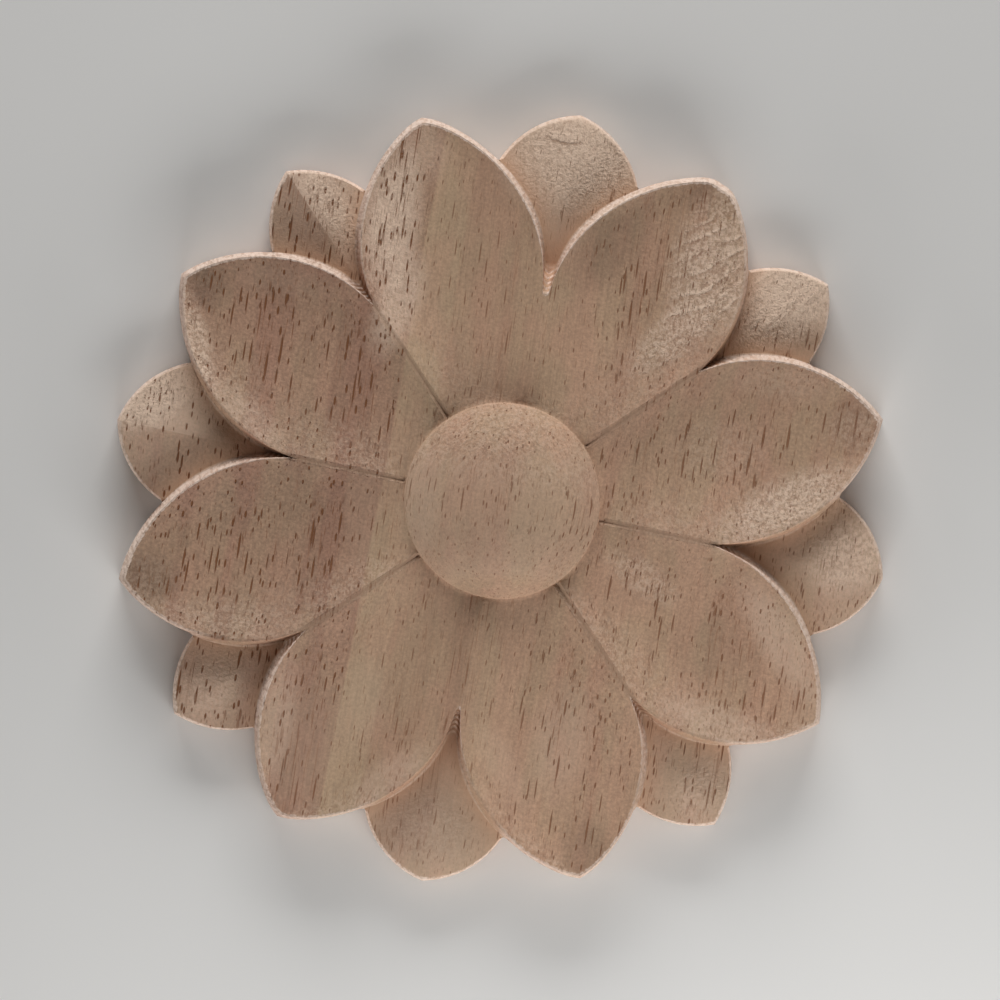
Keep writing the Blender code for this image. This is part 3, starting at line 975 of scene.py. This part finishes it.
def torn_masks(tree, noise, marks):
    """Pale fuzz, with the paler patches, the lower petals' painted light and the crests' painted
    highlight in it; dark pits with the painted shadow under the ridges; and the ridges' crests.
    """
    shingle = tree.math("FRACT", tree.plus(marks.phase, noise.specks, 0.5))
    crest = tree.times(tree.clamp(shingle, 0.0, 0.08), tree.clamp(shingle, 0.40, 0.10), marks.ridged,
                       tree.clamp(noise.mottle, 0.40, 0.55, 0.3, 1.0))
    fuzz = tree.times(marks.torn, tree.clamp(noise.specks, 0.46, 0.57))
    fuzz = tree.plus(tree.times(marks.torn, 0.08), fuzz, 0.55)
    # Painted light on the lower petals
    fuzz = tree.plus(fuzz, marks.lower, 0.22)
    fuzz = tree.plus(fuzz, tree.most(marks.pale, 0.0), 0.56)
    # Painted highlight on the ridges' crests, over their pale torn fibres
    fuzz = tree.plus(fuzz, crest, 0.65)
    # Painted shadow under each ridge's crest
    ridge_shadow = tree.times(marks.ridged, tree.clamp(shingle, 0.66, 0.95))
    pits = tree.times(marks.torn, tree.clamp(noise.specks, 0.48, 0.38))
    return fuzz, tree.plus(tree.times(pits, 0.34), ridge_shadow, 0.26), crest


def sliver_masks(tree, place, noise):
    """A loose sliver, an ellipse with a ragged edge, and the painted shadow under it."""
    spot = tree.add("Mapping", 0, {"vector_type": "TEXTURE"}, Vector=place,
                    Location=(*from_photo(SLIVER_PIXEL), 0),
                    Rotation=(0, 0, math.radians(SLIVER_TURN) + PHOTO_TURN),
                    Scale=(SLIVER_HALF[0] * PIXEL, SLIVER_HALF[1] * PIXEL, 1.0))
    ragged = tree.add("CombineXYZ", X=tree.plus(-1.0, noise.mottle, 2.0),
                      Y=tree.plus(-1.0, noise.specks, 2.0))
    spot = tree.vector("ADD", spot, ragged)
    sliver = tree.clamp(tree.vector("LENGTH", spot, output=1), 1.0, 0.6)
    under = tree.vector("LENGTH", tree.vector("ADD", spot, (0, 0.4, 0)), output=1)
    return sliver, tree.times(tree.clamp(under, 1.0, 0.8), tree.math("SUBTRACT", 1.0, sliver))


def carved_wood(finish, names):
    """Bare hardwood: staves, streaks, fibres, open pores, torn grain and freshly cut rims, with painted
    highlight on walls and rims that face the picture's top and on the lower petals, and painted shade in
    the notches, the cut lines, the tool steps' gaps and under the ridges and the sliver. Names are
    those of the mesh's marks."""
    material = bpy.data.materials.new("carved_hardwood")
    material.use_nodes = True
    tree = Tree(material.node_tree)
    marks = SimpleNamespace(**{name: tree.mark(name) for name in names})
    place, grain = grain_field(tree)
    noise = wood_noises(tree, place, grain)
    holes, dents = pore_masks(tree, grain, noise, marks)
    turns = tree.math("COSINE", tree.times(marks.step, 2 * math.pi))
    # The gaps between the tool steps get painted shadow and no painted highlight
    gap = tree.times(marks.ladder, tree.clamp(turns, 0.55, -0.25))
    cut_highlight = cut_highlight_mask(tree, noise, marks, gap)
    fuzz, pits, crest = torn_masks(tree, noise, marks)
    sliver, under = sliver_masks(tree, place, noise)

    wood = bare_wood(tree, finish, grain, noise, marks)
    # Painted highlight in the paler cut colour
    wood = tree.mix(cut_highlight, wood, finish.cut_wood_and_highlight)
    # Torn fuzz, with painted light on the lower petals and the ridges' crests
    wood = tree.mix(fuzz, wood, finish.torn_and_lit_wood)
    # Painted shade in the notches, in the gaps between tool steps and in the cut lines
    dark = tree.plus(tree.times(marks.deep, 0.8), gap, 0.5)
    dark = tree.plus(dark, tree.clamp(marks.cut, 0.0, 0.8), 0.4)
    wood = tree.mix(dark, wood, finish.deep)
    # Painted shadow in the tool steps' gaps, as strong as each notch's STEP_SHADOW
    wood = tree.mix(tree.times(marks.sunk, tree.clamp(turns, 0.3, -0.4), 0.75), wood, finish.pore)
    wood = tree.mix(tree.times(sliver, 0.8), wood, finish.torn_and_lit_wood)
    # Painted shadow under the sliver
    wood = tree.mix(tree.times(under, 0.4), wood, finish.pore)
    veins = tree.clamp(noise.bands, 0.45, 0.6, 0.08, 0.4)
    veins = tree.times(tree.clamp(noise.lines, 0.58, 0.70), veins)
    show = tree.times(holes, tree.plus(0.62, marks.coarse, 0.35))
    # pits also carries the painted shadow under the ridges
    show = tree.most(show, tree.most(pits, veins))
    show = tree.times(show, tree.plus(1.0, cut_highlight, -0.85))
    colour = tree.mix(show, wood, finish.pore)

    height = tree.times(dents, tree.plus(-0.5, marks.coarse, -1.5))
    rough = tree.plus(tree.plus(0.30, marks.torn, 1.8), marks.coarse, 0.5)
    for value, factor in (
        (noise.fibres, 0.25),
        (noise.speckle, rough),
        (noise.specks, tree.plus(0.15, marks.torn, 4.0)),
        (noise.teeth, tree.times(marks.wall, 2.2)),
        (sliver, 1.0),
        (crest, 1.2),
    ):
        height = tree.plus(height, value, factor)
    bump = tree.add("Bump", Strength=0.6, Distance=0.00012, Height=height)

    shader = material.node_tree.nodes["Principled BSDF"]
    links = material.node_tree.links
    links.new(colour, shader.inputs["Base Color"])
    links.new(tree.plus(0.62, noise.mottle, 0.16), shader.inputs["Roughness"])
    links.new(bump, shader.inputs["Normal"])
    shader.inputs["Specular IOR Level"].default_value = 0.25
    return material


def pale_floor():
    """Matt pale paper with a faint unevenness."""
    material = bpy.data.materials.new("pale_paper")
    material.use_nodes = True
    tree = Tree(material.node_tree)
    soft = tree.noise(tree.add("TexCoord", 3), 1, 18.0, 2.0)
    colour = tree.mix(soft, (0.79, 0.78, 0.76), (0.84, 0.83, 0.81))
    shader = material.node_tree.nodes["Principled BSDF"]
    material.node_tree.links.new(colour, shader.inputs["Base Color"])
    shader.inputs["Roughness"].default_value = 0.9
    return material


def area_light(name, direction, elevation, distance, size, watts):
    """A soft light that looks at the flower from this picture direction and elevation."""
    data = bpy.data.lights.new(name, "AREA")
    data.shape = "RECTANGLE"
    data.size, data.size_y = size
    data.energy = watts
    light = bpy.data.objects.new(name, data)
    turn = math.radians(direction) + PHOTO_TURN
    lift = math.radians(elevation)
    light.location = (
        distance * math.cos(turn) * math.cos(lift),
        distance * math.sin(turn) * math.cos(lift),
        distance * math.sin(lift),
    )
    light.rotation_euler = (math.pi / 2 - lift, 0, turn + math.pi / 2)
    bpy.context.scene.collection.objects.link(light)


class ONLAY_OT_stage(bpy.types.Operator):
    """Set the pale floor, the soft lights and the camera that looks straight down"""

    bl_idname = "onlay.stage"
    bl_label = "Set the stage"

    def execute(self, context):
        scene = context.scene
        studio = scene.studio_light
        bpy.ops.mesh.primitive_plane_add(size=FLOOR_SIZE, location=(0, 0, -FLOOR_GAP))
        floor = context.object
        floor.name = "floor"
        floor.data.materials.append(pale_floor())
        for name, values in LIGHTS.items():
            area_light(f"{name}_light", *values, getattr(studio, f"{name}_watts"))
        world = bpy.data.worlds.new("studio_air")
        world.use_nodes = True
        sky = world.node_tree.nodes["Background"].inputs
        sky["Color"].default_value = (1, 1, 1, 1)
        sky["Strength"].default_value = studio.sky
        scene.world = world
        data = bpy.data.cameras.new("camera")
        camera = bpy.data.objects.new("camera", data)
        scene.collection.objects.link(camera)
        frame_width = PIXEL * PHOTO_SIZE
        data.lens = data.sensor_width * studio.camera_height / frame_width
        x, y = from_photo((PHOTO_SIZE / 2, PHOTO_SIZE / 2))
        camera.rotation_euler = (-studio.lean_up, -studio.lean_left, PHOTO_TURN)
        back = camera.rotation_euler.to_matrix().col[2] * studio.camera_height
        camera.location = (x + back.x, y + back.y, EDGE_HEIGHT + back.z)
        data.clip_start = 0.01
        scene.camera = camera
        scene.view_settings.view_transform = "Standard"
        return {"FINISHED"}


class ONLAY_PT_panel(bpy.types.Panel):
    """The onlay's sizes, colours and steps"""

    bl_idname = "ONLAY_PT_panel"
    bl_label = "Carved rosette"
    bl_space_type = "VIEW_3D"
    bl_region_type = "UI"
    bl_category = "Onlay"

    def draw(self, context):
        scene = context.scene
        for group in (scene.rosette_shape, scene.wood_finish, scene.studio_light):
            box = self.layout.box()
            for key in group.__annotations__:
                box.prop(group, key)
        for operator in (ONLAY_OT_carve, ONLAY_OT_stage):
            self.layout.operator(operator.bl_idname)


CLASSES = (RosetteShape, WoodFinish, StudioLight, ONLAY_OT_carve, ONLAY_OT_stage, ONLAY_PT_panel)
GROUPS = {"rosette_shape": RosetteShape, "wood_finish": WoodFinish, "studio_light": StudioLight}


def register():
    for cls in CLASSES:
        bpy.utils.register_class(cls)
    for name, cls in GROUPS.items():
        setattr(bpy.types.Scene, name, bpy.props.PointerProperty(type=cls))


def unregister():
    for name in GROUPS:
        delattr(bpy.types.Scene, name)
    for cls in reversed(CLASSES):
        bpy.utils.unregister_class(cls)


def main():
    register()
    bpy.ops.onlay.carve()
    bpy.ops.onlay.stage()


if __name__ == "__main__":
    main()
